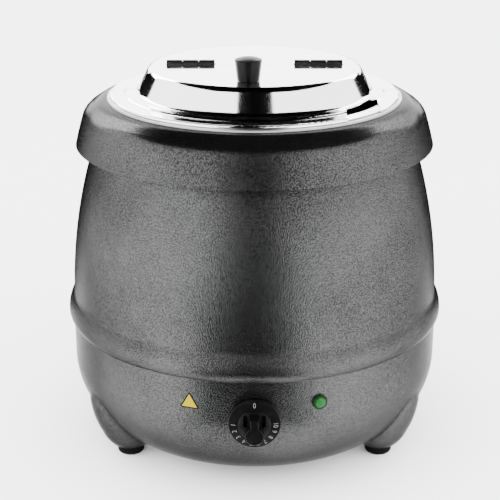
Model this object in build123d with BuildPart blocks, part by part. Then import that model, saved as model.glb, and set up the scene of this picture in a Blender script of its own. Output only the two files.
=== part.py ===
"""An electric soup kettle: a barrel-shaped water bath with a lift-out pot and a hinged two-part lid.

Millimetres. +Z is up, the origin is on the kettle's axis at the surface it stands on, and the
control knob faces -Y.
"""

import os
from math import cos, radians, sin, sqrt

from build123d import *

# ---- Driving dimensions -------------------------------------------------------------------------
SHEET = 1.0  # pressed steel of the casing, well and pot
LID_SHEET = 0.9

BAND_R = 170.0  # widest point, on the raised band
BAND_Z = 124.5
WALL_R = 166.0  # lower casing's straight wall
CORNER_R = 71.0  # lower casing's big bottom corner
FLOOR_Z = 10.0  # underside of the lower casing

FOOT_RING_R = 130.0
FOOT_COUNT = 3
FOOT_START = -30.0  # polar angle of the front right foot; the third foot is at the back
FOOT_R = 12.0
PAD_Z = 8.0  # underside of the pressed pads over the feet
KNEE_SEAM_R = 8.0  # rounding where a foot bulge meets the bowl

SEAT_Z = 315.0  # collar's seat under the well's flange
SEAT_R = 124.4  # collar's opening
WELL_R = 122.0
WELL_FLOOR_Z = 49.0  # underside of the well
POT_R = 113.0
POT_FLOOR_Z = 66.0
POT_RIM_R = 124.6
POT_RIM_Z = 318.2

LID_TOP_Z = 342.5
LID_FLANGE_Z = 319.6
LID_R = 126.2
LID_SPLIT = 0.3  # each half stops this far from the hinge line

HINGE_X = 55.5
HINGE_Z = 343.5
KNUCKLE_R = 3.2
KNUCKLE_W = 13.7
KNUCKLE_GAP = 0.4
PIN_R = 1.5
LEAF_W = 42.0
LEAF_DEPTH = 16.0

KNOB_X = -5.0
KNOB_Y = -66.0
KNOB_H = 20.0

DIAL_Z = 81.5
DIAL_Y = 168.5  # distance of the control knob's back face from the axis
DIAL_R = 21.4
GRIP_H = 17.0

PANEL_Z = 95.0  # height of the lamp and the sticker
PANEL_ANGLE = 18.8  # degrees each side of the control knob
LAMP_R = 6.5

GLAND_Z = 92.0
CORD_HOLE_R = 3.8


def around(angle, radius, z):
    """A point at an angle from the kettle's front, counted towards +X."""
    return (radius * sin(radians(angle)), -radius * cos(radians(angle)), z)


def facing(angle, radius, z):
    """A plane that faces outwards at an angle from the kettle's front."""
    a = radians(angle)
    return Plane(around(angle, radius, z), x_dir=(cos(a), sin(a), 0), z_dir=(sin(a), -cos(a), 0))


def section(place):
    """The plane through a turned piece's axis: local x is the radius and local y is along the axis."""
    return Plane(place.origin, x_dir=place.x_dir, z_dir=-place.y_dir)


def turn(place, arc=360):
    """Revolves the pending sketch about the axis of a plane."""
    revolve(axis=Axis(place.origin, place.z_dir), revolution_arc=arc)


def crown(edge_r, edge_z, top_z):
    """A domed end for a turned profile: an arc from an edge to the axis, centred on the axis."""
    rise = top_z - edge_z
    curve_r = (edge_r**2 + rise**2) / (2 * rise)
    middle_z = top_z - curve_r + (curve_r / abs(curve_r)) * sqrt(curve_r**2 - edge_r**2 / 4)
    ThreePointArc((edge_r, edge_z), (edge_r / 2, middle_z), (0, top_z))


def save(piece, name):
    """Labels a finished piece and writes it."""
    piece.part.label = name
    export_step(piece.part, f"parts/{name}.step")


def ring(inner, outer, low, high, place=Plane.XY):
    """A plain washer-shaped piece between two radii and two heights."""
    with BuildPart() as piece:
        with BuildSketch(place.offset(low)):
            Circle(outer)
            if inner:
                Circle(inner, mode=Mode.SUBTRACT)
        extrude(amount=high - low)
    return piece


def hex_nut(flats, bore, low, high, place=Plane.XY):
    """A hexagon nut with a plain bore."""
    with BuildPart() as piece:
        with BuildSketch(place.offset(low)):
            RegularPolygon(flats / 2, 6, major_radius=False)
            Circle(bore, mode=Mode.SUBTRACT)
        extrude(amount=high - low)
    return piece


def tube(points, bends, radius):
    """A round wire or tube along straight runs joined by arcs."""
    with BuildPart() as piece:
        with BuildLine() as path:
            FilletPolyline(*points, radius=bends)
        with BuildSketch(Plane(path.line @ 0, z_dir=path.line % 0)):
            Circle(radius)
        sweep()
    return piece


# ---- Casing -------------------------------------------------------------------------------------
def build_upper_shell():
    """The barrel: a turned-in top flange, a bulging wall and the raised band over the lower casing."""
    flange_z = 298.0
    with BuildPart() as upper_shell:
        with BuildSketch(Plane.XZ):
            with BuildLine():
                Line((123, flange_z), (131.4, flange_z))
                RadiusArc((131.4, flange_z), (135.0, flange_z - 3.4), 3.6)
                ThreePointArc((135.0, flange_z - 3.4), (155.2, 226), (164.8, 141.5))
                ThreePointArc((164.8, 141.5), (165.25, 139.3), (166.2, 137.5))
                ThreePointArc((166.2, 137.5), (169.05, 131.2), (BAND_R, BAND_Z))
                TangentArc((BAND_R, BAND_Z), (167.1, BAND_Z - 8.2), tangent=(0, -1))
                offset(amount=SHEET, side=Side.RIGHT)
            make_face()
        turn(Plane.XY)
    save(upper_shell, "upper_shell")


def build_knee(inset):
    """The rounded bulge over one foot, in its own frame; inset makes the inner skin's copy."""
    with BuildPart() as knee:
        with BuildSketch(Plane.XZ):
            with BuildLine():
                Line((0, PAD_Z + inset), (13.5 - inset, PAD_Z + inset))
                RadiusArc((13.5 - inset, PAD_Z + inset), (26.3 - inset, 25 + inset), -36)
                RadiusArc((26.3 - inset, 25 + inset), (35 - inset, 56), -80)
                Polyline((35 - inset, 56), (33.6 - inset, 72), (0, 72), (0, PAD_Z + inset))
            make_face()
        turn(Plane.XY)
    return knee


def build_bowl(inset):
    """The round bowl as a solid; inset shrinks it by the sheet to make the inner skin's copy."""
    top_z = 131.0
    wall = WALL_R - inset
    corner = CORNER_R - inset
    centre_z = FLOOR_Z + CORNER_R
    floor_r = WALL_R - CORNER_R
    slope = sqrt(0.5)
    with BuildPart() as bowl:
        with BuildSketch(Plane.XZ):
            with BuildLine():
                Line((0, FLOOR_Z + inset), (floor_r, FLOOR_Z + inset))
                ThreePointArc(
                    (floor_r, FLOOR_Z + inset),
                    (floor_r + corner * slope, centre_z - corner * slope),
                    (wall, centre_z),
                )
                Polyline((wall, centre_z), (wall, top_z), (0, top_z), (0, FLOOR_Z + inset))
            make_face()
        turn(Plane.XY)
    return bowl


def build_form(inset):
    """Bowl and foot bulges in one, with the seams between them rounded over."""
    bowl = build_bowl(inset)
    knee = build_knee(inset)
    with BuildPart() as form:
        add(bowl.part)
        with PolarLocations(FOOT_RING_R, FOOT_COUNT, FOOT_START):
            add(knee.part)
        fillet(form.edges().filter_by(GeomType.BSPLINE), KNEE_SEAM_R + inset)
    return form


def build_lower_shell():
    """The pressed bowl with three foot bulges and the holes for what is fixed to it."""
    outer_form = build_form(0)
    inner_form = build_form(SHEET)
    dial = facing(0, WALL_R, DIAL_Z)
    lamp = facing(PANEL_ANGLE, WALL_R, PANEL_Z)
    gland = facing(180, WALL_R, GLAND_Z)
    with BuildPart() as lower_shell:
        add(outer_form.part)
        add(inner_form.part, mode=Mode.SUBTRACT)
        # The rim turns out to meet the inside of the band.
        with BuildSketch(Plane.XY.offset(130)):
            Circle(168.0)
            Circle(WALL_R - SHEET, mode=Mode.SUBTRACT)
        extrude(amount=SHEET)
        # Holes: tie stud, foot screws, control shaft with its two screws, lamp, cord gland.
        with BuildSketch(Plane.XY.offset(FLOOR_Z - 1)):
            Circle(4.4)
        extrude(amount=3, mode=Mode.SUBTRACT)
        with BuildSketch(Plane.XY.offset(PAD_Z - 1)):
            with PolarLocations(FOOT_RING_R, FOOT_COUNT, FOOT_START):
                Circle(2.2)
        extrude(amount=3, mode=Mode.SUBTRACT)
        with BuildSketch(dial.offset(2)):
            Circle(5.2)
            with Locations((-14, 0), (14, 0)):
                Circle(2.2)
        extrude(amount=-8, mode=Mode.SUBTRACT)
        with BuildSketch(lamp.offset(2)):
            Circle(5.3)
        extrude(amount=-6, mode=Mode.SUBTRACT)
        with BuildSketch(gland.offset(2)):
            Circle(8.0)
        extrude(amount=-6, mode=Mode.SUBTRACT)
    save(lower_shell, "lower_shell")


def build_collar():
    """The domed top ring: overhanging skirt, rounded shoulder, and the seat for the well."""
    with BuildPart() as collar:
        with BuildSketch(Plane.XZ):
            with BuildLine():
                Line((SEAT_R, 298), (SEAT_R, SEAT_Z - 1.6))
                RadiusArc((SEAT_R, SEAT_Z - 1.6), (SEAT_R + 1.6, SEAT_Z), 1.6)
                seat = Line((SEAT_R + 1.6, SEAT_Z), (129.6, SEAT_Z))
                dome = TangentArc((129.6, SEAT_Z), (138.5, 312.4), tangent=seat % 1)
                slope = Line((138.5, 312.4), dome @ 1 + dome % 1 * 6.8)
                shoulder = TangentArc(slope @ 1, (150.9, 300), tangent=slope % 1)
                TangentArc((150.9, 300), (157.5, 276), tangent=shoulder % 1)
                offset(amount=SHEET, side=Side.RIGHT)
            make_face()
        turn(Plane.XY)
    save(collar, "collar")


# ---- Water bath and pot -------------------------------------------------------------------------
def build_well():
    """The fixed water pan with its flange on the collar's seat, and the gasket between them."""
    gasket_z = SEAT_Z + 0.8
    flange_z = gasket_z + SHEET
    corner = 12.0
    slope = sqrt(0.5)
    save(ring(126.2, 128.8, SEAT_Z, gasket_z), "rim_gasket")
    with BuildPart() as well:
        with BuildSketch(Plane.XZ):
            with BuildLine():
                Line((0, WELL_FLOOR_Z), (WELL_R - corner, WELL_FLOOR_Z))
                ThreePointArc(
                    (WELL_R - corner, WELL_FLOOR_Z),
                    (WELL_R - corner * (1 - slope), WELL_FLOOR_Z + corner * (1 - slope)),
                    (WELL_R, WELL_FLOOR_Z + corner),
                )
                Line((WELL_R, WELL_FLOOR_Z + corner), (WELL_R, flange_z - 3))
                RadiusArc((WELL_R, flange_z - 3), (WELL_R + 2, gasket_z), 2)
                Line((WELL_R + 2, gasket_z), (128.6, gasket_z))
                offset(amount=SHEET, side=Side.LEFT)
            make_face()
        turn(Plane.XY)
    save(well, "well")


def build_pot():
    """The lift-out soup pot: straight wall, rounded floor and a flat flange."""
    corner = 14.0
    slope = sqrt(0.5)
    under_z = POT_RIM_Z - SHEET
    with BuildPart() as soup_pot:
        with BuildSketch(Plane.XZ):
            with BuildLine():
                Line((0, POT_FLOOR_Z), (POT_R - corner, POT_FLOOR_Z))
                ThreePointArc(
                    (POT_R - corner, POT_FLOOR_Z),
                    (POT_R - corner * (1 - slope), POT_FLOOR_Z + corner * (1 - slope)),
                    (POT_R, POT_FLOOR_Z + corner),
                )
                Line((POT_R, POT_FLOOR_Z + corner), (POT_R, under_z - 2))
                RadiusArc((POT_R, under_z - 2), (POT_R + 2, under_z), 2)
                Line((POT_R + 2, under_z), (POT_RIM_R, under_z))
                offset(amount=SHEET, side=Side.LEFT)
            make_face()
        turn(Plane.XY)
    save(soup_pot, "soup_pot")


# ---- Lid ----------------------------------------------------------------------------------------
def build_lid_blank():
    """The whole round lid before it is cut in two: raised flat top, slope, stepped flange, edge."""
    with BuildPart() as blank:
        with BuildSketch(Plane.XZ):
            with BuildLine():
                FilletPolyline(
                    (0, LID_TOP_Z),
                    (91.5, LID_TOP_Z),
                    (102.5, LID_FLANGE_Z + 1.3),
                    (112.2, LID_FLANGE_Z + 1.3),
                    (113.8, LID_FLANGE_Z),
                    (LID_R, LID_FLANGE_Z),
                    (LID_R, LID_FLANGE_Z - 2.4),
                    radius=[7, 5, 1.4, 1.1, 1.5],
                )
                offset(amount=LID_SHEET, side=Side.RIGHT)
            make_face()
        turn(Plane.XY)
    return blank


def build_lid_halves():
    """The fixed rear half and the hinged front half, which has the knob hole and the ladle notch."""
    blank = build_lid_blank()
    slot_w = LEAF_W + 1.0
    slot_d = 2 * (KNUCKLE_R + 0.8)
    notch_low_x = 75.0
    notch_high_x = 104.0
    notch_inner_r = 105.0
    with BuildPart() as notch:
        with BuildSketch(Plane.XY.offset(LID_FLANGE_Z - 5)) as outline:
            with Locations(((notch_low_x + notch_high_x) / 2, -85)):
                Rectangle(notch_high_x - notch_low_x, 90)
            Circle(notch_inner_r, mode=Mode.SUBTRACT)
            fillet(outline.vertices().sort_by(Axis.Y)[-2:], 3.0)
        extrude(amount=12)
    for name, side in (("lid_rear_half", -1), ("lid_front_half", 1)):
        with BuildPart() as half:
            add(blank.part)
            split(bisect_by=Plane.XZ.offset(side * LID_SPLIT), keep=Keep.TOP if side > 0 else Keep.BOTTOM)
            with Locations((-HINGE_X, 0, LID_TOP_Z), (HINGE_X, 0, LID_TOP_Z)):
                Box(slot_w, slot_d, 6, mode=Mode.SUBTRACT)
            if side > 0:
                with BuildSketch(Plane.XY.offset(LID_TOP_Z - 3)):
                    with Locations((KNOB_X, KNOB_Y)):
                        Circle(2.3)
                extrude(amount=5, mode=Mode.SUBTRACT)
                add(notch.part, mode=Mode.SUBTRACT)
        save(half, name)


def build_hinge(name, x):
    """One small butt hinge: two leaves under the lid, three knuckles and a pin on the split line."""
    leaf_top = LID_TOP_Z - LID_SHEET
    leaf_z = leaf_top - LID_SHEET / 2
    outer_shift = KNUCKLE_W + KNUCKLE_GAP
    for half, side, shifts in (("rear", 1, (-outer_shift, outer_shift)), ("front", -1, (0,))):
        with BuildPart() as leaf:
            reach = LEAF_DEPTH - KNUCKLE_R - 0.8
            with Locations((x, side * (KNUCKLE_R + 0.8 + reach / 2), leaf_z)):
                Box(LEAF_W, reach, LID_SHEET)
            for shift in shifts:
                with Locations((x + shift, side * (KNUCKLE_R + 1.2) / 2, leaf_z)):
                    Box(KNUCKLE_W, KNUCKLE_R + 1.2, LID_SHEET)
                with Locations(Location((x + shift, 0, HINGE_Z), (0, 90, 0))):
                    Cylinder(KNUCKLE_R, KNUCKLE_W)
            with Locations(Location((x, 0, HINGE_Z), (0, 90, 0))):
                Cylinder(PIN_R + 0.05, 2 * LEAF_W, mode=Mode.SUBTRACT)
        save(leaf, f"{name}_{half}_leaf")
    with BuildPart() as pin:
        with Locations(Location((x, 0, HINGE_Z), (0, 90, 0))):
            Cylinder(PIN_R, LEAF_W)
        chamfer(pin.edges().filter_by(GeomType.CIRCLE), 0.3)
    save(pin, f"{name}_pin")


def build_lid_knob():
    """The tapered knob and the screw that holds it through the front half."""
    place = Plane((KNOB_X, KNOB_Y, LID_TOP_Z))
    head_z = -LID_SHEET
    with BuildPart() as lid_knob:
        with BuildSketch(section(place)):
            with BuildLine():
                Line((0, 0), (9.0, 0))
                Line((9.0, 0), (9.3, 0.6))
                Line((9.3, 0.6), (11.3, KNOB_H - 3.0))
                RadiusArc((11.3, KNOB_H - 3.0), (10.5, KNOB_H - 1.9), -1.1)
                crown(10.5, KNOB_H - 1.9, KNOB_H)
                Line((0, KNOB_H), (0, 0))
            make_face()
        turn(place)
        with BuildSketch(place):
            Circle(2.05)
        extrude(amount=13, mode=Mode.SUBTRACT)
    save(lid_knob, "lid_knob")
    with BuildPart() as screw:
        with BuildSketch(section(place)):
            with BuildLine():
                Polyline((0, head_z), (5.5, head_z), (5.5, head_z - 0.8), (4.0, head_z - 0.8))
                crown(4.0, head_z - 0.8, head_z - 3.0)
                Line((0, head_z - 3.0), (0, head_z))
            make_face()
        turn(place)
        with BuildSketch(place.offset(head_z)):
            Circle(2.0)
        extrude(amount=12)
    save(screw, "lid_knob_screw")


# ---- Controls -----------------------------------------------------------------------------------
def build_control_knob():
    """The numbered skirt with a bar grip, and the regulator's shaft that turns with it."""
    place = facing(0, DIAL_Y, DIAL_Z)
    with BuildPart() as control_knob:
        with BuildSketch(section(place)):
            with BuildLine():
                Polyline((0, 0), (DIAL_R - 0.4, 0), (DIAL_R, 0.4), (DIAL_R, 2.6), (DIAL_R - 0.6, 3.2))
                Line((DIAL_R - 0.6, 3.2), (13.6, 5.0))
                Line((13.6, 5.0), (12.6, 6.4))
                crown(12.6, 6.4, 9.6)
                Line((0, 9.6), (0, 0))
            make_face()
        turn(place)
        # The grip: a keyhole seen from the front, narrow towards the index and round below.
        with BuildSketch(place.offset(3)) as base:
            with Locations((0, -4.6)):
                Circle(8.6)
            with Locations((0, 3)):
                Rectangle(8.4, 17)
        with BuildSketch(place.offset(GRIP_H)):
            with Locations((0, -4.6)):
                Circle(7.6)
            with Locations((0, 2.2)):
                Rectangle(6.6, 15)
        loft()
        top = control_knob.faces().sort_by(Axis.Y)[0]
        fillet(top.edges(), 1.2)
        # Finger scoops each side of the narrow part.
        with BuildSketch(place.offset(4.4)):
            with Locations((-7.4, 5), (7.4, 5)):
                SlotOverall(10, 3.6, rotation=90)
        extrude(amount=8, mode=Mode.SUBTRACT)
        with BuildSketch(place):
            Circle(3.05)
        extrude(amount=11, mode=Mode.SUBTRACT)
    save(control_knob, "control_knob")
    save(ring(0, 3.0, -24, 10.5, place), "regulator_shaft")


def build_regulator():
    """The temperature regulator on its bracket and spacers, with its sensing bulb on the well."""
    front = facing(0, 152, DIAL_Z)
    with BuildPart() as regulator_body:
        with BuildSketch(front):
            RectangleRounded(44, 40, 3)
        extrude(amount=-22)
        with BuildSketch(front):
            Circle(3.05)
            with Locations((-14, 0), (14, 0)):
                Circle(2.05)
        extrude(amount=-14, mode=Mode.SUBTRACT)
        with Locations((-10, -141, DIAL_Z + 22), (10, -141, DIAL_Z + 22)):
            Box(6.3, 0.8, 8)
    save(regulator_body, "regulator_body")
    with BuildPart() as bracket:
        with BuildSketch(front):
            RectangleRounded(48, 30, 3)
            Circle(5, mode=Mode.SUBTRACT)
            with Locations((-14, 0), (14, 0)):
                Circle(2.2, mode=Mode.SUBTRACT)
        extrude(amount=1.5)
    save(bracket, "regulator_bracket")
    with BuildPart() as spacers:
        with BuildSketch(front.offset(1.5)):
            with Locations((-14, 0), (14, 0)):
                Circle(4)
                Circle(2.2, mode=Mode.SUBTRACT)
        extrude(amount=10.4)
    save(spacers, "regulator_spacers")
    with BuildPart() as screws:
        head = facing(0, 165.8, DIAL_Z)
        with BuildSketch(head):
            with Locations((-14, 0), (14, 0)):
                Circle(3.6)
        extrude(amount=2.2)
        chamfer(screws.faces().sort_by(Axis.Y)[:2].edges(), 0.7)
        with BuildSketch(head):
            with Locations((-14, 0), (14, 0)):
                Circle(1.95)
        extrude(amount=-25)
    save(screws, "regulator_screws")
    bulb_angle = 35.0
    bulb = Plane(around(bulb_angle, WELL_R + 3.3, 80))
    save(ring(0, 3, 0, 90, bulb), "sensing_bulb")
    foot = around(bulb_angle, WELL_R + 3.3, 80)
    below = around(bulb_angle, WELL_R + 3.3, 68)
    capillary = tube(
        [(22.1, -139, 76), (36, -139, 76), (58, -127, 68), below, foot], [14, 14, 5], 0.9
    )
    save(capillary, "capillary_tube")


def build_lamp():
    """The green indicator lamp: a faceted lens in its bezel, the barrel behind it and its nut."""
    place = facing(PANEL_ANGLE, WALL_R, PANEL_Z)
    with BuildPart() as lens:
        with BuildSketch(section(place)):
            with BuildLine():
                Line((0, 0.2), (LAMP_R, 0.2))
                Line((LAMP_R, 0.2), (LAMP_R, 1.2))
                RadiusArc((LAMP_R, 1.2), (LAMP_R - 0.8, 2.0), -0.8)
                Line((LAMP_R - 0.8, 2.0), (LAMP_R - 1.3, 2.0))
                crown(LAMP_R - 1.3, 2.0, 3.9)
                Line((0, 3.9), (0, 0.2))
            make_face()
        turn(place)
    save(lens, "indicator_lens")
    save(ring(0, 5.0, -24, 0.2, place), "indicator_barrel")
    save(hex_nut(14, 5.1, -4.8, -1.25, place), "indicator_nut")


def build_sticker():
    """A plain triangular sticker that follows the curve of the casing."""
    place = facing(-PANEL_ANGLE, WALL_R - 2, PANEL_Z - 0.8)
    with BuildPart() as sticker:
        with BuildSketch(place):
            RegularPolygon(9.9, 3, rotation=90)
        extrude(amount=6)
        fillet(sticker.edges().filter_by(Axis(place.origin, place.z_dir)), 0.8)
        with BuildSketch(Plane.XY.offset(PANEL_Z - 20)):
            Circle(WALL_R + 0.25)
            Circle(WALL_R, mode=Mode.SUBTRACT)
        extrude(amount=40, mode=Mode.INTERSECT)
    save(sticker, "blank_sticker")


# ---- Heating and wiring -------------------------------------------------------------------------
PIN_ANGLES = (168.0, 192.0)  # where the element's two ends turn down, from the kettle's front
ELEMENT_RING_R = 72.0
ELEMENT_R = 4.0
PLATE_Z = 45.0  # underside of the heat plate


def build_heater():
    """Heat plate, sheathed element, clamp and insulation, all hung on the well's central stud."""
    save(ring(4.3, 105, PLATE_Z, WELL_FLOOR_Z), "heat_plate")
    element_z = PLATE_Z - ELEMENT_R
    start = Plane(Plane.XY.origin, x_dir=around(PIN_ANGLES[1], 1, 0), z_dir=(0, 0, 1))
    with BuildPart() as element:
        with BuildSketch(section(start)):
            with Locations((ELEMENT_RING_R, element_z)):
                Circle(ELEMENT_R)
        turn(start, 360 - (PIN_ANGLES[1] - PIN_ANGLES[0]))
        for angle in PIN_ANGLES:
            with BuildSketch(Plane(around(angle, ELEMENT_RING_R, element_z), z_dir=(0, 0, -1))):
                Circle(2.0)
            extrude(amount=20)
    save(element, "heating_element")
    clamp_z = PLATE_Z - 2 * ELEMENT_R
    for name, inner, outer, low, high in (
        ("element_clamp", 4.4, 84, clamp_z - 1.5, clamp_z),
        ("insulation_pad", 10, 80, clamp_z - 9.5, clamp_z - 1.5),
    ):
        with BuildPart() as disc:
            with BuildSketch(Plane.XY.offset(low)):
                Circle(outer)
                Circle(inner, mode=Mode.SUBTRACT)
                for angle in PIN_ANGLES:
                    with Locations(around(angle, ELEMENT_RING_R, 0)):
                        Circle(4.0, mode=Mode.SUBTRACT)
            extrude(amount=high - low)
        save(disc, name)
    save(ring(0, 4.0, 1.8, WELL_FLOOR_Z), "tie_stud")
    save(hex_nut(13, 4.1, clamp_z - 8, clamp_z - 1.5), "clamp_nut")
    save(hex_nut(13, 4.1, 2.6, FLOOR_Z - 1.6), "tie_nut")
    save(ring(4.3, 12, FLOOR_Z - 1.6, FLOOR_Z), "tie_washer")
    cutout = Plane(around(140, 94, PLATE_Z - 9))
    with BuildPart() as thermal_cutout:
        with BuildSketch(cutout):
            Circle(8)
        extrude(amount=9)
        with Locations(cutout.location):
            with Locations((-4, 0, -3), (4, 0, -3)):
                Box(0.8, 6.3, 7)
    save(thermal_cutout, "thermal_cutout")


BLOCK_ANGLE = 150.0
BLOCK_Z = 70.0
EARTH_ANGLE = 128.0


def build_wiring():
    """The terminal block at the back and the insulated leads to the regulator, element and earth."""
    inner_face = facing(BLOCK_ANGLE, 140, BLOCK_Z + 8)
    with BuildPart() as terminal_block:
        with BuildSketch(inner_face):
            RectangleRounded(34, 16, 1.5)
        extrude(amount=23)
        with BuildSketch(inner_face.offset(4)):
            with Locations((-5.5, 7), (5.5, 7)):
                Rectangle(1.6, 4)
        extrude(amount=15)
    save(terminal_block, "terminal_block")
    with BuildPart() as terminal_screws:
        for depth in (146, 156):
            for across in (-11, 0, 11):
                head = facing(BLOCK_ANGLE, depth, BLOCK_Z + 16)
                where = head.origin + head.x_dir * across
                with BuildSketch(Plane(where)):
                    Circle(1.8)
                extrude(amount=1.2)
    save(terminal_screws, "terminal_screws")

    lead_r = 1.5
    high_z = 116.0
    top_z = BLOCK_Z + 17.3
    tab_z = DIAL_Z + 26
    right = [around(a, 150, high_z) for a in (138, 114, 90, 66, 42, 18)]
    live = [around(BLOCK_ANGLE, 146, top_z), around(BLOCK_ANGLE, 146, high_z), *right]
    live += [(10, -141, high_z), (10, -141, tab_z)]
    save(tube(live, [8, 5, 60, 60, 60, 60, 20, 5], lead_r), "lead_live")

    pin_z = PLATE_Z - ELEMENT_R - 20
    left = [around(a, 150, high_z) for a in (-18, -42, -66, -90, -114, -138)]
    switched = [(-10, -141, tab_z), (-10, -141, high_z), *left]
    switched += [around(-156, 148, 62), around(PIN_ANGLES[1], 104, 15)]
    switched += [around(PIN_ANGLES[1], ELEMENT_RING_R, 14), around(PIN_ANGLES[1], ELEMENT_RING_R, pin_z)]
    save(tube(switched, [5, 5, 40, 60, 60, 60, 30, 20, 10, 3], lead_r), "lead_switched")

    neutral = [around(BLOCK_ANGLE + 4, 148, BLOCK_Z - 0.5), around(BLOCK_ANGLE + 5, 146, 56)]
    neutral += [around(PIN_ANGLES[0], 104, 15), around(PIN_ANGLES[0], ELEMENT_RING_R, 14)]
    neutral += [around(PIN_ANGLES[0], ELEMENT_RING_R, pin_z)]
    save(tube(neutral, [8, 10, 3], lead_r), "lead_neutral")

    stud = around(EARTH_ANGLE, 80, FLOOR_Z + SHEET)
    save(ring(0, 2.5, 0, 11, Plane(stud)), "earth_stud")
    earth = [around(BLOCK_ANGLE - 4, 148, BLOCK_Z - 0.5), around(BLOCK_ANGLE - 5, 146, 54)]
    earth += [around(EARTH_ANGLE + 4, 104, 20), around(EARTH_ANGLE, 83, 17)]
    save(tube(earth, [8, 10], lead_r), "lead_earth")

    with BuildPart() as supply:
        for across in (-4, 0, 4):
            gland_side = (-across * 0.4, WALL_R - 18.5, GLAND_Z + 1.2 * (abs(across) - 2))
            block_side = facing(BLOCK_ANGLE, 156, top_z)
            landing = block_side.origin + block_side.x_dir * across * 2.75
            above = landing + Vector(0, 0, 12)
            wire = tube([gland_side, (gland_side[0], WALL_R - 27, 101), above, landing], [5, 5], 0.9)
            add(wire.part)
    save(supply, "supply_conductors")


def build_gland():
    """The cord gland at the back: body through the casing, outer nut, inner locknut, one bore."""
    place = facing(180, WALL_R, GLAND_Z)
    with BuildPart() as cord_gland:
        with BuildSketch(place.offset(0.3)):
            RegularPolygon(10, 6, major_radius=False)
        extrude(amount=4)
        with BuildSketch(place.offset(-16)):
            Circle(7.8)
        extrude(amount=22.4)
        with BuildSketch(place.offset(-17)):
            Circle(CORD_HOLE_R)
        extrude(amount=25, mode=Mode.SUBTRACT)
    save(cord_gland, "cord_gland")
    with BuildPart() as gland_nut:
        with BuildSketch(section(place)):
            with BuildLine():
                Polyline((CORD_HOLE_R, 6.4), (CORD_HOLE_R, 19.5), (6.0, 19.5))
                ThreePointArc((6.0, 19.5), (8.4, 18.2), (9.4, 15.4))
                Polyline((9.4, 15.4), (9.4, 4.4), (7.9, 4.4), (7.9, 6.4), (CORD_HOLE_R, 6.4))
            make_face()
        turn(place)
    save(gland_nut, "gland_nut")
    save(hex_nut(20, 7.9, -5.2, -1.4, place), "gland_locknut")


# ---- Feet ---------------------------------------------------------------------------------------
def build_feet():
    """Three rubber feet, each with its screw and nut."""
    names = ("foot_front_right", "foot_rear", "foot_front_left")
    for i, name in enumerate(names):
        place = Plane(around(FOOT_START + 90 + 120 * i, FOOT_RING_R, 0))
        with BuildPart() as foot:
            with BuildSketch(section(place)):
                with BuildLine():
                    Polyline((2.2, 3.2), (2.2, PAD_Z), (FOOT_R - 0.6, PAD_Z))
                    Line((FOOT_R - 0.6, PAD_Z), (FOOT_R, 3.4))
                    RadiusArc((FOOT_R, 3.4), (FOOT_R - 3.0, 0), 3.6)
                    Polyline((FOOT_R - 3.0, 0), (4.6, 0), (4.6, 3.2), (2.2, 3.2))
                make_face()
            turn(place)
        save(foot, name)
    with BuildPart() as foot_screws:
        with BuildSketch(Plane.XY.offset(0.8)):
            with PolarLocations(FOOT_RING_R, FOOT_COUNT, FOOT_START):
                Circle(3.8)
        extrude(amount=2.4)
        with BuildSketch(Plane.XY.offset(3.2)):
            with PolarLocations(FOOT_RING_R, FOOT_COUNT, FOOT_START):
                Circle(1.95)
        extrude(amount=12)
    save(foot_screws, "foot_screws")
    with BuildPart() as foot_nuts:
        with BuildSketch(Plane.XY.offset(PAD_Z + SHEET)):
            with PolarLocations(FOOT_RING_R, FOOT_COUNT, FOOT_START):
                RegularPolygon(3.5, 6, major_radius=False)
                Circle(2.05, mode=Mode.SUBTRACT)
        extrude(amount=3.2)
    save(foot_nuts, "foot_nuts")


os.makedirs("parts", exist_ok=True)
build_upper_shell()
build_lower_shell()
build_collar()
build_well()
build_pot()
build_lid_halves()
build_hinge("hinge_left", -HINGE_X)
build_hinge("hinge_right", HINGE_X)
build_lid_knob()
build_control_knob()
build_regulator()
build_lamp()
build_sticker()
build_heater()
build_wiring()
build_gland()
build_feet()
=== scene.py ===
"""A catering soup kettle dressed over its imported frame: finishes, fine detail and a soft studio."""

import logging
from dataclasses import dataclass, field
from enum import Enum
from math import cos, pi, radians, sin

import bpy
from mathutils import Matrix, Vector


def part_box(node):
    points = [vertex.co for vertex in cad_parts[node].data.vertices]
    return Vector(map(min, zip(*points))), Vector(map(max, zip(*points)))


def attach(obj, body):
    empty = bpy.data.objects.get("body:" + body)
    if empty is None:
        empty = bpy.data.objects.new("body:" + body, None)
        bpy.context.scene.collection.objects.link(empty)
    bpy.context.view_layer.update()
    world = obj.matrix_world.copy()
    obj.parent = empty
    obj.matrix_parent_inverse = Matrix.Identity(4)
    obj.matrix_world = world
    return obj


log = logging.getLogger("soup_kettle")

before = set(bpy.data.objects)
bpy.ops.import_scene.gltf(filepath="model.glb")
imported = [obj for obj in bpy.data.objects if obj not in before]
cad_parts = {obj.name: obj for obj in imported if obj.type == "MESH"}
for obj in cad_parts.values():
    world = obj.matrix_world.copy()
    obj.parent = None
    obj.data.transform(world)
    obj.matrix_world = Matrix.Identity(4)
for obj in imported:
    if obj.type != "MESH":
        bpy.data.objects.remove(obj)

Colour = tuple[float, float, float]


class Body(Enum):
    """The kettle's rigid bodies."""

    KETTLE = "kettle"
    POT = "soup_pot"
    LID_REAR = "lid_rear"
    LID_FRONT = "lid_front"
    DIAL = "dial"


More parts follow.
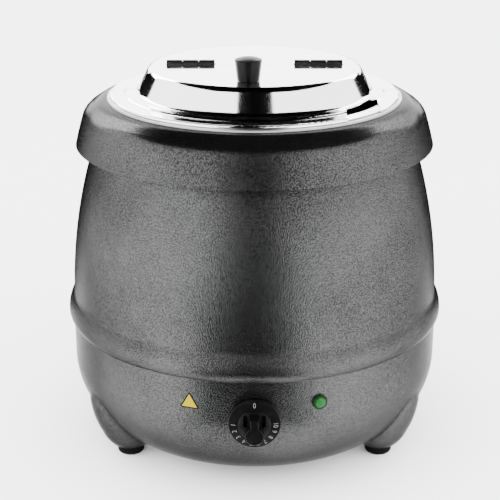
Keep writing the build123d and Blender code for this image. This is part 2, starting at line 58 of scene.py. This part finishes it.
# ---- Shader maths -------------------------------------------------------------------------------
class Value:
    """One output socket that takes part in ordinary arithmetic."""

    def __init__(self, shader: "Shader", socket: bpy.types.NodeSocket) -> None:
        """Wraps a socket.

        Args:
            shader: The shader that the socket belongs to.
            socket: The output socket.
        """
        self.shader = shader
        self.socket = socket

    def _maths(self, operation: str, *values: "Value | float") -> "Value":
        """Adds one Math node.

        Args:
            operation: The node's operation.
            values: Its inputs, in order.

        Returns:
            The node's result.
        """
        node = self.shader.node("ShaderNodeMath", {"operation": operation}, dict(enumerate(values)))
        return self.shader.out(node)

    def __add__(self, other: "Value | float") -> "Value":
        """The sum."""
        return self._maths("ADD", self, other)

    def __radd__(self, other: float) -> "Value":
        """The sum, reflected."""
        return self._maths("ADD", other, self)

    def __sub__(self, other: "Value | float") -> "Value":
        """The difference."""
        return self._maths("SUBTRACT", self, other)

    def __rsub__(self, other: float) -> "Value":
        """The difference, reflected."""
        return self._maths("SUBTRACT", other, self)

    def __mul__(self, other: "Value | float") -> "Value":
        """The product."""
        return self._maths("MULTIPLY", self, other)

    def __rmul__(self, other: float) -> "Value":
        """The product, reflected."""
        return self._maths("MULTIPLY", other, self)

    def __truediv__(self, other: "Value | float") -> "Value":
        """The quotient."""
        return self._maths("DIVIDE", self, other)

    def __rtruediv__(self, other: float) -> "Value":
        """The quotient, reflected."""
        return self._maths("DIVIDE", other, self)

    def __neg__(self) -> "Value":
        """The negative."""
        return self._maths("MULTIPLY", self, -1.0)

    def peak(self, other: "Value | float") -> "Value":
        """The larger of the two."""
        return self._maths("MAXIMUM", self, other)

    def root(self) -> "Value":
        """The square root."""
        return self._maths("SQRT", self)

    def ramp(self, low: float, high: float) -> "Value":
        """Smoothly maps a stretch of this value to 0..1, clamped at both ends.

        Args:
            low: Where the stretch starts.
            high: Where it ends.

        Returns:
            The mapped value.
        """
        settings = {"interpolation_type": "SMOOTHSTEP"}
        inputs = {"Value": self, "From Min": low, "From Max": high}
        return self.shader.out(self.shader.node("ShaderNodeMapRange", settings, inputs))


class Shader:
    """A material's node tree with one Principled shader."""

    def __init__(self, name: str) -> None:
        """Makes an empty material.

        Args:
            name: The material's name.
        """
        self.material = bpy.data.materials.new(name)
        self.material.use_nodes = True
        self.tree = self.material.node_tree
        self.principled = next(n for n in self.tree.nodes if n.type == "BSDF_PRINCIPLED")
        self._place: Value | None = None

    def node(self, kind: str, settings: dict, inputs: dict) -> bpy.types.Node:
        """Adds any node, with its settings first and then its inputs.

        Args:
            kind: The node's type.
            settings: Attributes of the node, such as its operation.
            inputs: Values or links, by socket name or number.

        Returns:
            The node.
        """
        node = self.tree.nodes.new(kind)
        for key, value in settings.items():
            setattr(node, key, value)
        for key, value in inputs.items():
            self._feed(node.inputs[key], value)
        return node

    def _feed(self, socket: bpy.types.NodeSocket, value: "Value | float | Colour") -> None:
        """Links or sets one input socket.

        Args:
            socket: The input.
            value: What goes in it.
        """
        if isinstance(value, Value):
            self.tree.links.new(value.socket, socket)
        elif isinstance(value, tuple) and socket.type == "RGBA":
            socket.default_value = (*value, 1.0)
        else:
            socket.default_value = value

    def out(self, node: bpy.types.Node, key: str | int = 0) -> Value:
        """One of a node's outputs as a value."""
        return Value(self, node.outputs[key])

    @property
    def place(self) -> Value:
        """The point's place in the kettle's own frame, in metres."""
        if self._place is None:
            self._place = self.out(self.node("ShaderNodeTexCoord", {}, {}), "Object")
        return self._place

    def axes(self) -> tuple[Value, Value, Value]:
        """The point's x, y and z."""
        node = self.node("ShaderNodeSeparateXYZ", {}, {0: self.place})
        return self.out(node, 0), self.out(node, 1), self.out(node, 2)

    def stretched(self, scale: Colour) -> Value:
        """The point's place with each axis scaled."""
        node = self.node("ShaderNodeVectorMath", {"operation": "MULTIPLY"}, {0: self.place, 1: scale})
        return self.out(node)

    def noise(self, scale: float, detail: float = 2.0, rough: float = 0.5, at: Value | None = None) -> Value:
        """Smooth noise.

        Args:
            scale: Features per metre.
            detail: Octaves.
            rough: How strong the fine octaves are.
            at: Where to read it, or the point's own place.

        Returns:
            A value from 0 to 1.
        """
        inputs = {"Vector": at or self.place, "Scale": scale, "Detail": detail, "Roughness": rough}
        return self.out(self.node("ShaderNodeTexNoise", {}, inputs), 0)

    def cells(self, scale: float) -> Value:
        """Distance to the middle of the nearest cell, at a scale in cells per metre."""
        inputs = {"Vector": self.place, "Scale": scale}
        return self.out(self.node("ShaderNodeTexVoronoi", {}, inputs), "Distance")

    def blend(self, mask: Value, low: "Colour | Value", high: "Colour | Value") -> Value:
        """Mixes two colours by a mask.

        Args:
            mask: 0 for low and 1 for high.
            low: The first colour.
            high: The second colour.

        Returns:
            The colour.
        """
        node = self.node("ShaderNodeMix", {"data_type": "RGBA"}, {0: mask, 6: low, 7: high})
        return self.out(node, 2)

    def relief(self, height: Value, depth: float, strength: float = 1.0) -> Value:
        """Turns a height from 0 to 1 into a normal.

        Args:
            height: The height.
            depth: What a height of 1 measures, in metres.
            strength: How much of it shows.

        Returns:
            The normal.
        """
        inputs = {"Height": height, "Distance": depth, "Strength": strength}
        return self.out(self.node("ShaderNodeBump", {}, inputs))

    def surface(self, **inputs: "Value | float | Colour") -> bpy.types.Material:
        """Feeds the Principled shader; underscores in names stand for spaces.

        Args:
            inputs: Values or links, by socket name.

        Returns:
            The finished material.
        """
        for key, value in inputs.items():
            self._feed(self.principled.inputs[key.replace("_", " ")], value)
        return self.material


# ---- Finishes -----------------------------------------------------------------------------------
BLACK: Colour = (0.001, 0.001, 0.001)
WORN_BLACK: Colour = (0.003, 0.003, 0.003)


@dataclass(frozen=True)
class Hammertone:
    """Dark grey baked enamel with a fine pebbled grain, smoother on the collar's crown."""

    name: str = "hammertone_enamel"
    low: Colour = (0.012, 0.012, 0.0122)
    high: Colour = (0.076, 0.076, 0.0768)
    pebble: float = 1000.0
    depth: float = 0.00014
    clouds: float = 9.0
    edge_tint: Colour = (0.44, 0.44, 0.44)
    smooth_above: float = 1.0
    smooth_over: float = 0.007

    def material(self) -> bpy.types.Material:
        """Builds the finish."""
        s = Shader(self.name)
        _, _, z = s.axes()
        grain = s.noise(self.pebble, 1.0, 0.5)
        fine = s.noise(self.pebble * 1.9, 1.0, 0.5)
        cloud = s.noise(self.clouds, 3.0).ramp(0.35, 0.65)
        height = (grain * 0.8 + fine * 0.2).ramp(0.25, 0.75)
        crown = z.ramp(self.smooth_above, self.smooth_above + self.smooth_over)
        speck = grain.ramp(0.3, 0.7) * 0.7 + cloud * 0.3
        return s.surface(
            Base_Color=s.blend(speck, self.low, self.high),
            Metallic=0.97,
            Roughness=(cloud * 0.02 + grain * 0.05 + 0.2) - crown * 0.06,
            Specular_Tint=self.edge_tint,
            Normal=s.relief(height * (1.0 - crown * 0.85), self.depth),
        )


@dataclass(frozen=True)
class PolishedSteel:
    """Spun and polished stainless sheet with faint turning lines and wipe marks."""

    name: str = "polished_stainless"
    tint: Colour = (0.87, 0.87, 0.875)
    gloss: float = 0.07
    lines: float = 900.0
    wipes: float = 26.0
    depth: float = 0.000012

    def material(self) -> bpy.types.Material:
        """Builds the finish."""
        s = Shader(self.name)
        x, y, _ = s.axes()
        radius = (x * x + y * y).root()
        turned = s.node("ShaderNodeCombineXYZ", {}, {0: radius * self.lines, 1: 0.0, 2: 0.0})
        streak = s.noise(1.0, 3.0, 0.7, s.out(turned))
        wipe = s.noise(self.wipes, 4.0, 0.6).ramp(0.42, 0.72)
        pale = tuple(min(1.0, c * 1.05) for c in self.tint)
        return s.surface(
            Base_Color=s.blend(wipe * 0.6 + streak * 0.4, self.tint, pale),
            Metallic=1.0,
            Roughness=wipe * 0.035 + streak * 0.03 + self.gloss,
            Normal=s.relief(streak, self.depth, 0.5),
        )


@dataclass(frozen=True)
class SatinMetal:
    """Plated, drawn or cast metal with directional scratches and dull patches."""

    name: str
    tint: Colour
    worn: Colour
    gloss: float = 0.32
    stretch: Colour = (40.0, 900.0, 900.0)
    patches: float = 120.0
    depth: float = 0.00003

    def material(self) -> bpy.types.Material:
        """Builds the finish."""
        s = Shader(self.name)
        scratch = s.noise(1.0, 3.0, 0.65, s.stretched(self.stretch))
        patch = s.noise(self.patches, 3.0).ramp(0.4, 0.7)
        return s.surface(
            Base_Color=s.blend(patch * 0.6 + scratch * 0.4, self.tint, self.worn),
            Metallic=1.0,
            Roughness=scratch * 0.12 + patch * 0.1 + self.gloss,
            Normal=s.relief(scratch, self.depth, 0.6),
        )


@dataclass(frozen=True)
class MouldedPlastic:
    """Injection-moulded plastic with a faint flow texture and handling marks."""

    name: str
    tint: Colour
    worn: Colour
    gloss: float
    specular: float = 0.4
    grain: float = 1500.0
    marks: float = 70.0
    depth: float = 0.00002

    def material(self) -> bpy.types.Material:
        """Builds the finish."""
        s = Shader(self.name)
        grain = s.noise(self.grain, 2.0)
        handled = s.noise(self.marks, 4.0, 0.6).ramp(0.45, 0.75)
        return s.surface(
            Base_Color=s.blend(handled * 0.7 + grain * 0.3, self.tint, self.worn),
            Roughness=handled * 0.09 + grain * 0.06 + self.gloss,
            Specular_IOR_Level=self.specular,
            Normal=s.relief(grain, self.depth, 0.6),
        )


@dataclass(frozen=True)
class FootRubber:
    """Matte black rubber, dusty where it meets the worktop."""

    name: str = "foot_rubber"
    grain: float = 900.0
    dusty_below: float = 0.004

    def material(self) -> bpy.types.Material:
        """Builds the finish."""
        s = Shader(self.name)
        _, _, z = s.axes()
        grain = s.noise(self.grain, 3.0, 0.6)
        dust = (1.0 - z.ramp(0.0, self.dusty_below)) * grain.ramp(0.3, 0.7)
        return s.surface(
            Base_Color=s.blend(dust, (0.002, 0.002, 0.002), (0.008, 0.008, 0.007)),
            Roughness=grain * 0.15 + 0.5,
            Specular_IOR_Level=0.04,
            Normal=s.relief(grain, 0.00005, 0.7),
        )


@dataclass(frozen=True)
class LampGreen:
    """A moulded green lens with prism facets that glows over the light; its colour has painted shade
    darkening it towards the bezel and a painted highlight in each facet's middle.
    """

    centre: Vector
    facing: Vector
    radius: float
    facets: float = 620.0
    name: str = "green_lens"

    def material(self) -> bpy.types.Material:
        """Builds the finish."""
        s = Shader(self.name)
        middle = tuple(self.centre)
        offset = s.node("ShaderNodeVectorMath", {"operation": "SUBTRACT"}, {0: s.place, 1: middle})
        across = s.node(
            "ShaderNodeVectorMath", {"operation": "CROSS_PRODUCT"}, {0: s.out(offset), 1: tuple(self.facing)}
        )
        reach = s.out(s.node("ShaderNodeVectorMath", {"operation": "LENGTH"}, {0: s.out(across)}), "Value")
        # Painted shade: the lens colour darkens towards the bezel, and the lamp's glow fades there too.
        painted_bezel_shade = (reach / self.radius).ramp(0.5, 0.8)
        facet = s.cells(self.facets).ramp(0.05, 0.6)
        # Painted highlight: the lens colour is painted brighter in each facet's middle and darker at its
        # edges.
        glow = s.blend(facet, (0.008, 0.07, 0.014), (0.003, 0.035, 0.007))
        return s.surface(
            Base_Color=s.blend(painted_bezel_shade, glow, (0.0006, 0.008, 0.0015)),
            Emission_Color=s.blend(painted_bezel_shade, (0.02, 0.2, 0.035), (0.0, 0.006, 0.001)),
            Emission_Strength=0.35,
            Roughness=facet * 0.08 + 0.2,
            Specular_IOR_Level=0.08,
            Normal=s.relief(facet, 0.0002, 0.5),
        )


@dataclass(frozen=True)
class StickerFilm:
    """Yellow printed film with a dark border along the triangle's three sides."""

    centre: Vector
    across: Vector
    inner: float
    border: float = 0.0012
    softness: float = 0.0002
    name: str = "sticker_film"

    def material(self) -> bpy.types.Material:
        """Builds the finish."""
        s = Shader(self.name)
        middle = tuple(self.centre)
        offset = s.node("ShaderNodeVectorMath", {"operation": "SUBTRACT"}, {0: s.place, 1: middle})
        along = s.node(
            "ShaderNodeVectorMath", {"operation": "DOT_PRODUCT"}, {0: s.out(offset), 1: tuple(self.across)}
        )
        u = s.out(along, "Value")
        v = s.out(s.node("ShaderNodeSeparateXYZ", {}, {0: s.out(offset)}), 2)
        lean, half = cos(radians(30.0)), sin(radians(30.0))
        side = (u * lean + v * half).peak(v * half - u * lean).peak(-v)
        start = self.inner - self.border
        edge = side.ramp(start, start + self.softness)
        print_grain = s.noise(2200.0, 2.0)
        yellow = s.blend(print_grain, (0.19, 0.15, 0.0), (0.23, 0.18, 0.001))
        return s.surface(
            Base_Color=s.blend(edge, yellow, (0.004, 0.003, 0.001)),
            Roughness=print_grain * 0.1 + 0.4,
            Specular_IOR_Level=0.05,
            Normal=s.relief(print_grain, 0.00001, 0.5),
        )


@dataclass(frozen=True)
class Wool:
    """Felted mineral wool."""

    name: str = "mineral_wool"

    def material(self) -> bpy.types.Material:
        """Builds the finish."""
        s = Shader(self.name)
        fibre = s.noise(1.0, 4.0, 0.7, s.stretched((300.0, 900.0, 1400.0)))
        return s.surface(
            Base_Color=s.blend(fibre, (0.4, 0.35, 0.2), (0.72, 0.66, 0.45)),
            Roughness=fibre * 0.1 + 0.85,
            Normal=s.relief(fibre, 0.0004),
        )


def dress(material: bpy.types.Material, *nodes: str) -> None:
    """Gives one material to several frame nodes.

    Args:
        material: The material.
        nodes: The nodes' names.
    """
    for name in nodes:
        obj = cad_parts[name]
        for held in obj.material_slots:
            held.material = material
        if not obj.material_slots:
            obj.data.materials.append(material)


def centre_of(node: str) -> Vector:
    """The middle of a frame node's box."""
    low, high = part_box(node)
    return (low + high) / 2


def radial(angle: float) -> Vector:
    """The outward direction at an angle from the front, in degrees towards +X."""
    return Vector((sin(radians(angle)), -cos(radians(angle)), 0.0))


# ---- Sub-assemblies -----------------------------------------------------------------------------
@dataclass
class Casing:
    """Upper shell, lower shell and collar in enamel, on rubber feet."""

    crown_z: float = 0.3012
    feet: tuple[str, ...] = ("foot_front_left", "foot_front_right", "foot_rear")

    def dress(self) -> None:
        """Gives the casing its finishes."""
        enamel = Hammertone().material()
        dress(enamel, "upper_shell", "lower_shell")
        dress(Hammertone(name="collar_enamel", smooth_above=self.crown_z).material(), "collar")
        dress(FootRubber().material(), *self.feet)


@dataclass
class Pot:
    """The lift-out pot, polished like the lid."""

    def dress(self) -> None:
        """Gives the pot its finish."""
        dress(PolishedSteel(name="pot_stainless", gloss=0.16).material(), "soup_pot")


@dataclass
class Lid:
    """Both lid halves, their hinges and the knob."""

    sides: tuple[str, ...] = ("left", "right")

    def dress(self) -> None:
        """Gives the lid its finishes."""
        dress(PolishedSteel().material(), "lid_rear_half", "lid_front_half")
        steel = PolishedSteel(name="hinge_stainless", tint=(0.7, 0.7, 0.7), gloss=0.14).material()
        for side in self.sides:
            dress(steel, f"hinge_{side}_rear_leaf", f"hinge_{side}_front_leaf", f"hinge_{side}_pin")
        knob = MouldedPlastic("lid_knob_plastic", BLACK, WORN_BLACK, 0.24, 0.08)
        dress(knob.material(), "lid_knob")


@dataclass
class ControlDial:
    """The control knob with its printed scale."""

    scale_radius: float = 0.0172
    digit_size: float = 0.0060
    digit_width: float = 0.82
    ink_depth: float = 0.00012
    thinning: float = 0.0001
    cone_tilt: float = 14.0
    plane_height: float = 0.00412
    first_angle: float = 180.0
    step: float = 20.0
    made: list[bpy.types.Object] = field(default_factory=list)

    def dress(self) -> None:
        """Gives the knob its finish."""
        plastic = MouldedPlastic("dial_plastic", BLACK, WORN_BLACK, 0.3, 0.05)
        dress(plastic.material(), "control_knob")

    def build(self) -> None:
        """Prints the numbers on the skirt, each with its top outwards."""
        ink = MouldedPlastic("scale_ink", (0.11, 0.11, 0.11), (0.15, 0.15, 0.15), 0.5, 0.1).material()
        angles = {"0": 90.0}
        for number in range(1, 11):
            angles[str(number)] = self.first_angle + self.step * (number - 1)
        for text, angle in angles.items():
            self.made.append(self._numeral(text, angle, ink))

    def _numeral(self, text: str, angle: float, ink: bpy.types.Material) -> bpy.types.Object:
        """Builds one number as a thin mesh on the skirt's cone.

        Args:
            text: The number.
            angle: Its place, in degrees from the right-hand side, seen from the front.
            ink: Its material.

        Returns:
            The piece.
        """
        low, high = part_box("control_knob")
        outward = Vector((cos(radians(angle)), 0.0, sin(radians(angle))))
        back = Vector((0.0, 1.0, 0.0))
        tilt = radians(self.cone_tilt)
        up = outward * cos(tilt) + back * sin(tilt)
        normal = outward * sin(tilt) - back * cos(tilt)
        side = up.cross(normal)
        centre = Vector(((low.x + high.x) / 2, high.y - self.plane_height, (low.z + high.z) / 2))
        curve = bpy.data.curves.new(f"numeral_{text}_outline", "FONT")
        curve.body = text
        curve.size = self.digit_size
        curve.align_x = "CENTER"
        curve.align_y = "CENTER"
        curve.extrude = self.ink_depth / 2
        curve.offset = -self.thinning
        outline = bpy.data.objects.new(curve.name, curve)
        mesh = bpy.data.meshes.new_from_object(outline)
        bpy.data.objects.remove(outline)
        turn = Matrix((side * self.digit_width, up, normal)).transposed().to_4x4()
        mesh.transform(Matrix.Translation(centre + outward * self.scale_radius) @ turn)
        mesh.materials.clear()
        mesh.materials.append(ink)
        piece = bpy.data.objects.new(f"dial_numeral_{text}", mesh)
        bpy.context.collection.objects.link(piece)
        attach(piece, Body.DIAL.value)
        return piece


@dataclass
class FrontPanel:
    """The indicator lamp and the triangular sticker beside the dial."""

    panel_angle: float = 18.8
    lamp_radius: float = 0.0065
    sticker_radius: float = 0.0099

    def dress(self) -> None:
        """Gives the lamp and the sticker their finishes."""
        lamp = LampGreen(centre_of("indicator_lens"), radial(self.panel_angle), self.lamp_radius)
        dress(lamp.material(), "indicator_lens")
        low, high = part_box("blank_sticker")
        centre = (low + high) / 2
        centre.z = low.z + self.sticker_radius / 2
        across = Vector((cos(radians(self.panel_angle)), -sin(radians(self.panel_angle)), 0.0))
        film = StickerFilm(centre, across, self.sticker_radius / 2)
        dress(film.material(), "blank_sticker")


@dataclass
class Works:
    """Water bath, heating, regulator, wiring and fasteners."""

    def dress(self) -> None:
        """Gives the inner pieces their finishes."""
        pressed = SatinMetal("pressed_stainless", (0.6, 0.6, 0.61), (0.5, 0.5, 0.5), 0.28)
        dress(pressed.material(), "well", "element_clamp", "regulator_bracket")
        zinc = SatinMetal("zinc_plate", (0.6, 0.6, 0.56), (0.48, 0.47, 0.42), 0.3)
        dress(
            zinc.material(), "foot_screws", "foot_nuts", "tie_stud", "tie_nut", "tie_washer", "clamp_nut",
            "regulator_screws", "regulator_spacers", "regulator_shaft", "lid_knob_screw", "earth_stud",
        )
        cast = SatinMetal("cast_aluminium", (0.62, 0.62, 0.63), (0.5, 0.5, 0.5), 0.42, (700.0, 700.0, 700.0))
        dress(cast.material(), "heat_plate")
        sheath = SatinMetal("element_sheath", (0.25, 0.21, 0.17), (0.33, 0.26, 0.2), 0.4)
        dress(sheath.material(), "heating_element")
        copper = SatinMetal("drawn_copper", (0.62, 0.32, 0.2), (0.45, 0.22, 0.13), 0.3)
        dress(copper.material(), "capillary_tube", "sensing_bulb")
        brass = SatinMetal("plated_brass", (0.62, 0.5, 0.25), (0.5, 0.4, 0.2), 0.3)
        dress(brass.material(), "terminal_screws")
        dress(Wool().material(), "insulation_pad")
        black = MouldedPlastic("gland_plastic", (0.016, 0.016, 0.016), (0.03, 0.03, 0.03), 0.38)
        dress(
            black.material(), "cord_gland", "gland_nut", "gland_locknut", "indicator_barrel",
            "indicator_nut", "regulator_body",
        )
        white = MouldedPlastic("block_plastic", (0.62, 0.6, 0.52), (0.5, 0.47, 0.4), 0.4)
        dress(white.material(), "terminal_block", "thermal_cutout")
        seal = MouldedPlastic("seal_silicone", (0.3, 0.29, 0.28), (0.22, 0.22, 0.21), 0.55)
        dress(seal.material(), "rim_gasket")
        wires = {
            "brown_sleeve": ((0.2, 0.07, 0.03), ("lead_live", "lead_switched")),
            "blue_sleeve": ((0.04, 0.1, 0.4), ("lead_neutral",)),
            "green_sleeve": ((0.16, 0.4, 0.05), ("lead_earth",)),
            "grey_sleeve": ((0.3, 0.3, 0.3), ("supply_conductors",)),
        }
        for name, (tint, nodes) in wires.items():
            worn = tuple(c * 0.7 for c in tint)
            dress(MouldedPlastic(name, tint, worn, 0.4).material(), *nodes)


# ---- Studio -------------------------------------------------------------------------------------
@dataclass(frozen=True)
class Card:
    """A curved card round the kettle that only reflections see.

    Angles are in degrees from the front towards +X, and heights and radii are in metres.
    """

    name: str
    start: float
    end: float
    near: tuple[float, float]
    far: tuple[float, float]
    glow: float


@dataclass
class Studio:
    """Pale floor, soft lights, the cards that the metal and enamel reflect, and the camera."""

    distance: float = 1.108
    height: float = 0.572
    pitch: float = 19.92
    lens: float = 92.6
    shift: float = -0.009
    sky: float = 6.0
    floor_reach: float = 12.0
    room_radius: float = 4.0
    room_height: float = 4.0
    room_sides: int = 48
    cards: tuple[Card, ...] = (
        Card("softbox_right", 20.0, 126.0, (2.2, 0.02), (2.2, 2.4), 4.2),
        Card("softbox_left", 234.0, 341.0, (2.2, 0.02), (2.2, 2.4), 4.6),
        Card("back_sky", 150.0, 210.0, (2.4, 0.4), (2.0, 2.2), 7.0),
        Card("wing_right", 128.0, 150.0, (2.4, 0.9), (2.0, 2.2), 12.0),
        Card("wing_left", 210.0, 232.0, (2.4, 0.9), (2.0, 2.2), 16.0),
        Card("front_gobo", -27.0, 25.0, (0.27, 0.0006), (3.8, 0.0006), 0.0),
        Card("back_gobo", 132.0, 228.0, (0.16, 0.0006), (3.8, 0.0006), 0.0),
    )
    lights: dict[str, tuple] = field(
        default_factory=lambda: {
            "soft_left": ((-1.3, -0.9, 1.0), (0.9, 0.9), 22.0),
            "soft_right": ((1.3, -0.9, 1.0), (0.9, 0.9), 16.0),
        }
    )
    aim: Vector = field(default_factory=lambda: Vector((0.0, 0.0, 0.18)))

    def build(self) -> None:
        """Builds the whole studio."""
        self._world()
        self._floor()
        self._drum()
        for card in self.cards:
            self._card(card)
        for name, (place, size, power) in self.lights.items():
            self._light(name, Vector(place), size, power)
        self._camera()

    def _world(self) -> None:
        """A soft white sky."""
        world = bpy.data.worlds.new("soft_sky")
        world.use_nodes = True
        sky = world.node_tree.nodes["Background"]
        sky.inputs["Color"].default_value = (1.0, 1.0, 1.0, 1.0)
        sky.inputs["Strength"].default_value = self.sky
        bpy.context.scene.world = world

    def _stage_mesh(
        self, name: str, verts: list, faces: list, material: bpy.types.Material
    ) -> bpy.types.Object:
        """Adds a stage object.

        Args:
            name: Its name.
            verts: Its vertices.
            faces: Its faces.
            material: Its material.

        Returns:
            The object.
        """
        mesh = bpy.data.meshes.new(name)
        mesh.from_pydata(verts, [], faces)
        mesh.materials.append(material)
        obj = bpy.data.objects.new(name, mesh)
        bpy.context.collection.objects.link(obj)
        return obj

    def _mirror_only(self, obj: bpy.types.Object) -> None:
        """Lets nothing but reflections see an object."""
        obj.visible_camera = False
        obj.visible_diffuse = False
        obj.visible_shadow = False
        obj.visible_transmission = False

    def _floor(self) -> None:
        """A wide pale floor."""
        s = Shader("pale_floor")
        cloud = s.noise(3.0, 2.0)
        floor = s.surface(
            Base_Color=s.blend(cloud, (0.9, 0.9, 0.9), (0.92, 0.92, 0.92)),
            Roughness=0.9,
            Specular_IOR_Level=0.0,
        )
        reach = self.floor_reach
        edge = [(-reach, -reach, 0), (reach, -reach, 0), (reach, reach, 0), (-reach, reach, 0)]
        self._stage_mesh("floor", edge, [(0, 1, 2, 3)], floor)

    def _glow(self, name: str, strength: float) -> bpy.types.Material:
        """A plain glowing material."""
        s = Shader(name)
        return s.surface(
            Base_Color=(0.0, 0.0, 0.0), Roughness=1.0, Specular_IOR_Level=0.0,
            Emission_Color=(1.0, 1.0, 1.0), Emission_Strength=strength,
        )

    def _drum(self) -> None:
        """The dark room behind the cards."""
        count, radius, top = self.room_sides, self.room_radius, self.room_height
        ring = [(radius * cos(2 * pi * i / count), radius * sin(2 * pi * i / count)) for i in range(count)]
        verts = [(x, y, 0.0) for x, y in ring] + [(x, y, top) for x, y in ring]
        faces = [(i, (i + 1) % count, count + (i + 1) % count, count + i) for i in range(count)]
        faces.append(tuple(range(count, 2 * count)))
        self._mirror_only(self._stage_mesh("dark_room", verts, faces, self._glow("dark_room", 0.0)))

    def _card(self, card: Card) -> None:
        """Adds one card."""
        steps = max(2, round((card.end - card.start) / 6))
        verts = []
        for reach, z in (card.near, card.far):
            for i in range(steps + 1):
                point = radial(card.start + (card.end - card.start) * i / steps) * reach
                verts.append((point.x, point.y, z))
        row = steps + 1
        faces = [(i, i + 1, row + i + 1, row + i) for i in range(steps)]
        self._mirror_only(self._stage_mesh(card.name, verts, faces, self._glow(card.name, card.glow)))

    def _light(self, name: str, place: Vector, size: tuple[float, float], power: float) -> None:
        """Adds one area light aimed at the kettle.

        Args:
            name: Its name.
            place: Where it stands.
            size: Its width and height.
            power: Its power in watts.
        """
        data = bpy.data.lights.new(name, "AREA")
        data.shape = "RECTANGLE"
        data.size, data.size_y = size
        data.energy = power
        light = bpy.data.objects.new(name, data)
        light.location = place
        light.rotation_euler = (self.aim - place).to_track_quat("-Z", "Y").to_euler()
        light.visible_camera = False
        light.visible_glossy = False
        bpy.context.collection.objects.link(light)

    def _camera(self) -> None:
        """Adds the camera."""
        data = bpy.data.cameras.new("camera")
        data.lens = self.lens
        data.sensor_width = 36.0
        data.shift_x = self.shift
        camera = bpy.data.objects.new("camera", data)
        camera.location = (0.0, -self.distance, self.height)
        camera.rotation_euler = (radians(90.0 - self.pitch), 0.0, 0.0)
        bpy.context.collection.objects.link(camera)
        bpy.context.scene.camera = camera


def main() -> None:
    """Builds and dresses every sub-assembly, then the studio."""
    logging.basicConfig(level=logging.INFO, format="%(name)s: %(message)s")
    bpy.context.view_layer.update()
    dial = ControlDial()
    for part in (Casing(), Works(), Pot(), Lid(), FrontPanel(), dial):
        part.dress()
        log.info("dressed %s", type(part).__name__)
    dial.build()
    for piece in dial.made:
        log.info("built %s", piece.name)
    Studio().build()


if __name__ == "__main__":
    main()
